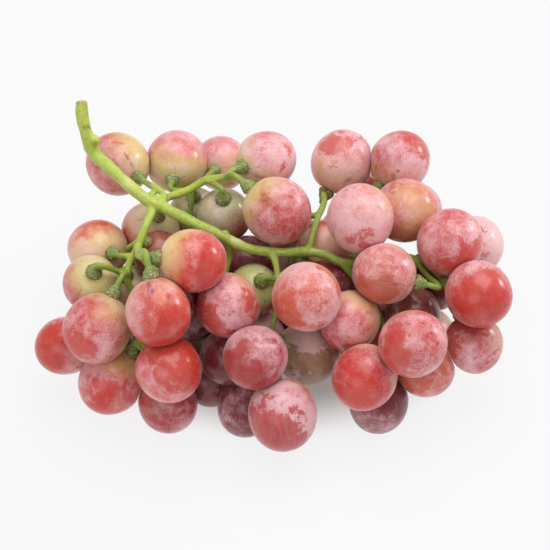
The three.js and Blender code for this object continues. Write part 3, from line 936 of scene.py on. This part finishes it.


# Stem skin: the blended green, with its painted light, shade and highlights, with stripes along the
# branches, paler ridges, small pale pores, brown flecks and a few larger corky spots.
def stemMaterial():
    g = Graph("green stem")
    place = g.place()
    stripes = g.noise(g.attribute("grain"), 9, 3, 0.6)
    clouds = g.noise(place, 160, 3, 0.6)
    flecks = g.noise(place, 1100, 2).step(0.62, 0.68)
    pores = g.noise(place, 1500, 1).step(0.66, 0.74)
    spots = g.noise(place, 330, 2, 0.5).step(0.69, 0.73)
    # The tone holds the painted light, shade and highlights.
    skin = g.mix(stripes.step(0.4, 0.7) * 0.45, g.attribute("tone"), paint(stemGreens["ridge"]))
    skin = g.mix(stripes.step(0.5, 0.3) * 0.4, skin, paint(stemGreens["groove"]))
    skin = g.mix(clouds.step(0.45, 0.7) * 0.3, skin, paint(stemGreens["cloud"]))
    skin = g.mix(pores * 0.45, skin, paint(stemGreens["pore"]))
    skin = g.mix(flecks * 0.5, skin, paint(stemGreens["fleck"]))
    skin = g.mix(spots * 0.7, skin, paint(stemGreens["spot"]))
    height = stripes * 0.6 + g.noise(place, 600, 3) * 0.4
    return g.surface({
        "Base Color": skin,
        "Roughness": 0.3 + stripes * 0.14,
        "Normal": g.bump(height, 0.0003),
        "Subsurface Weight": 0.12,
        "Subsurface Radius": (0.6, 1, 0.2),
        "Subsurface Scale": 0.0012,
    })


budShape = {
    "rings": 26,
    "sides": 36,
    # Share of the way from the stalk to the berry, and the radius there.
    "outline": [(0, 0.4), (0.02, 1.05), (0.16, 1.35), (0.32, 1.8), (0.5, 2.35), (0.72, 2.75), (0.9, 2.75),
                (0.97, 2.4), (1, 1.6)],
    "hiddenFactor": 0.85,
    "length": 4.4,
    "upStalk": 1.8,        # the most it reaches up the stalk, beyond the listed swollen end
    "sunk": 0.75,          # how far its foot goes into the berry's dimple
    "wartRings": [0.28, 0.46, 0.64, 0.8, 0.93],
    "wartsRound": [5, 7, 9, 11, 12],
    "wartHeight": 0.38,
    "wartReach": 0.058,
    "wartWidth": 1.8,
    "wartShift": 0.3,      # how far a wart is from its even place in the ring, over the gap between two
    "wartRowShift": 0.06,
    "wartSizes": (0.4, 1.1),
    "fullWart": 1.2,       # the most that warts add up to where they meet
    "sizeSpread": 0.06,
    "corkOnWarts": 0.9,
    "corkFoot": 0.5,       # how corky it is by the berry
    "corkFootFrom": (0.86, 0.98),
    "firstSeed": 500,
}

budTones = {
    "light": (150, 174, 98),
    "deep": (104, 134, 68),
    "wartShade": (108, 82, 48),     # round the warts
    # Painted shade round the warts.
    "cork": (214, 186, 142),
    "fleck": (92, 70, 36),
}


# The swollen end of one stalk, where it holds its berry: a turned outline with rings of corky warts, each
# a bell-shaped bump. Returns corners, faces, and how corky each corner is, which also sets the painted
# shade round the warts.
def stalkEnd(index, stalk):
    random = np.random.default_rng(budShape["firstSeed"] + index)
    pole = stalk["pole"]
    across, side = sidesOf(pole)
    shares, outline = np.array(budShape["outline"], float).T
    share = np.linspace(0, 1, budShape["rings"])
    radius = np.interp(share, shares, outline)
    factor = 1 if stalk["shown"] else budShape["hiddenFactor"]
    factor *= 1 + budShape["sizeSpread"] * random.normal()
    length = min(budShape["length"], stalk["bud"] + budShape["upStalk"])
    turn = 2 * math.pi * np.arange(budShape["sides"]) / budShape["sides"]
    warts = np.zeros((budShape["rings"], budShape["sides"]))
    for wartRing, count in zip(budShape["wartRings"], budShape["wartsRound"]):
        shift = random.uniform(-budShape["wartShift"], budShape["wartShift"], count)
        places = 2 * math.pi * (np.arange(count) + shift) / count
        sizes = random.uniform(*budShape["wartSizes"], count)
        rows = wartRing + random.uniform(-budShape["wartRowShift"], budShape["wartRowShift"], count)
        gapRound = np.abs((turn[:, None] - places[None] + math.pi) % (2 * math.pi) - math.pi)
        widthRound = budShape["wartWidth"] / count
        spread = np.exp(-((share[:, None, None] - rows) / budShape["wartReach"]) ** 2
                        - (gapRound / widthRound)[None] ** 2)
        warts += (spread * sizes).sum(axis=2)
    warts = np.clip(warts, 0, budShape["fullWart"])
    radii = radius[:, None] * factor + warts * budShape["wartHeight"]
    foot = stalk["end"] - pole * (layout["air"] + budShape["sunk"])
    top = foot + pole * (length + budShape["sunk"])
    line = top + (foot - top) * share[:, None]
    ring = np.cos(turn)[None, :, None] * across - np.sin(turn)[None, :, None] * side
    corners = (line[:, None] + ring * radii[:, :, None]).reshape(-1, 3)
    corners = np.vstack([corners, top, foot])
    byBerry = smoothStep(*budShape["corkFootFrom"], share)[:, None] * budShape["corkFoot"]
    cork = np.clip(warts * budShape["corkOnWarts"] + byBerry, 0, 1)
    return corners, closedGridFaces(budShape["rings"], budShape["sides"]), np.append(cork, [0, 1])


# Swollen stalk ends: green, with brown painted shade round the warts and pale cork on them, roughened
# finely.
def budMaterial():
    g = Graph("stalk end")
    place = g.place()
    cork = g.attribute("cork").channel(0) + (g.noise(place, 900, 3) - 0.5) * 0.5
    skin = g.mix(g.noise(place, 500, 2), paint(budTones["light"]), paint(budTones["deep"]))
    # Painted shade in brown round the warts, where they start to rise.
    skin = g.mix(cork.step(0.1, 0.3) * 0.75, skin, paint(budTones["wartShade"]))
    skin = g.mix(cork.step(0.42, 0.62) * 0.9, skin, paint(budTones["cork"]))
    skin = g.mix(g.noise(place, 1600, 2).step(0.6, 0.7) * 0.4, skin, paint(budTones["fleck"]))
    return g.surface({
        "Base Color": skin,
        "Roughness": 0.55 + cork * 0.15,
        "Normal": g.bump(g.noise(place, 1500, 3), 0.0002),
    })


# The two pieces of the stem: its branches with the bumps on them, joined, and all the swollen ends. A
# bump is an upright ball cut off at each end.
def stemPieces():
    shapes, lines = stemBranches()
    for middle, radius in stemBumps:
        reach = radius * stemShape["bumpReach"]
        height = np.linspace(-reach, reach, stemShape["bumpRings"])
        path = middle - berries["shift"] + height[:, None] * np.array([[0, 0, 1]])
        shapes.append(tube(path, np.sqrt(radius ** 2 - height ** 2), stemShape["sides"]))
    corners, faces = joinShapes(shapes)
    grain, onStalk = stemGrain(corners, lines)
    attributes = {"tone": stemColours(corners, onStalk), "grain": grain}
    addPiece("branches", corners, [faces], "stem", stemMaterial(), attributes)
    ends = [stalkEnd(i, stalk) for i, stalk in enumerate(stalks) if stalk is not None]
    endCorners, endFaces = gather([end[:2] for end in ends])
    cork = np.concatenate([end[2] for end in ends])
    addPiece("stalk_ends", endCorners, endFaces, "stem", budMaterial(), {"cork": cork[:, None]})


stemPieces()
print("stem made")


studio = {
    "floorTone": (84, 84, 84),
    "floorGlow": 0.842,
    # The painted shadow: a dim patch of the floor's glow under the bunch.
    "paintedShadowSize": (0.07, 0.046),    # half length and depth of the dim patch of floor under the bunch
    "paintedShadowGlow": (0.34, 0.3, 0.28),  # its glow, over that of the rest
    "paintedShadowEdge": (0.55, 1.1),       # where its fading starts and ends, over its half length and depth
    "floorSide": 4,
    "floorDrop": 0.05,              # how far under the table's height it lies, in millimetres
    "lightAim": (0, 0, 0.03),
    "worldStrength": 0.53,
}

# The lights: place, power and side of the square.
lights = {
    "overhead": ((0.1, 0.15, 1.1), 9, 0.9),
    "window": ((0.85, 0.32, 0.4), 2.8, 0.2),
    "front": ((-0.5, -0.8, 0.6), 2, 0.6),
}


# A wide plain pale floor, with a painted shadow under the bunch: its glow fades there, by the distance from
# the middle over the painted shadow's half length and depth.
def addFloor():
    g = Graph("pale floor")
    halfLength, halfDepth = studio["paintedShadowSize"]
    spread = g.scaled(g.place(), (1 / halfLength, 1 / halfDepth, 0))
    distance = g.make("ShaderNodeVectorMath", {"operation": "LENGTH"}, {0: spread}, output=1)
    # Painted shadow: the glow is dimmed under the bunch and full beyond it.
    glow = g.mix(distance.step(*studio["paintedShadowEdge"]), (*studio["paintedShadowGlow"], 1), (1, 1, 1, 1))
    half = studio["floorSide"] / 2
    level = -studio["floorDrop"] * mm
    corners = [(-half, -half, level), (half, -half, level), (half, half, level), (-half, half, level)]
    mesh = bpy.data.meshes.new("floor")
    mesh.from_pydata(corners, [], [(0, 1, 2, 3)])
    mesh.materials.append(g.surface({
        "Base Color": paint(studio["floorTone"]),
        "Roughness": 0.9,
        "Specular IOR Level": 0,
        "Emission Color": glow,
        "Emission Strength": studio["floorGlow"],
    }))
    floor = bpy.data.objects.new("floor", mesh)
    bpy.context.scene.collection.objects.link(floor)


# A soft square light at a place, turned to the bunch.
def addLight(name, place, strength, size):
    light = bpy.data.lights.new(name, "AREA")
    light.energy = strength
    light.size = size
    lamp = bpy.data.objects.new(name, light)
    lamp.location = place
    lamp.rotation_euler = (Vector(studio["lightAim"]) - lamp.location).to_track_quat("-Z", "Y").to_euler()
    bpy.context.scene.collection.objects.link(lamp)


# An even white surround.
def addSurround():
    world = bpy.data.worlds.new("surround")
    world.use_nodes = True
    world.node_tree.nodes["Background"].inputs[0].default_value = (1, 1, 1, 1)
    world.node_tree.nodes["Background"].inputs[1].default_value = studio["worldStrength"]
    bpy.context.scene.world = world


cameraFit = {
    "distance": 620,            # from the aimed point, in millimetres
    "aim": (0.33, 1.26, 36),
    "focalPixels": 1662,
    "imagePixels": 550,
    "sensor": 36,
}


# The camera where the photograph was taken from.
def addCamera():
    lens = bpy.data.cameras.new("camera")
    lens.sensor_width = cameraFit["sensor"]
    lens.lens = cameraFit["sensor"] * cameraFit["focalPixels"] / cameraFit["imagePixels"]
    camera = bpy.data.objects.new("camera", lens)
    aim = np.array(cameraFit["aim"])
    camera.location = (aim + viewNear * cameraFit["distance"]) * mm
    camera.rotation_euler = (math.pi / 2 - viewRise, 0, 0)
    bpy.context.scene.collection.objects.link(camera)
    bpy.context.scene.camera = camera


addFloor()
addSurround()
for lightName, (lightPlace, lightPower, lightSide) in lights.items():
    addLight(lightName, lightPlace, lightPower, lightSide)
addCamera()
bpy.context.scene.view_settings.view_transform = "Standard"
print("studio set")
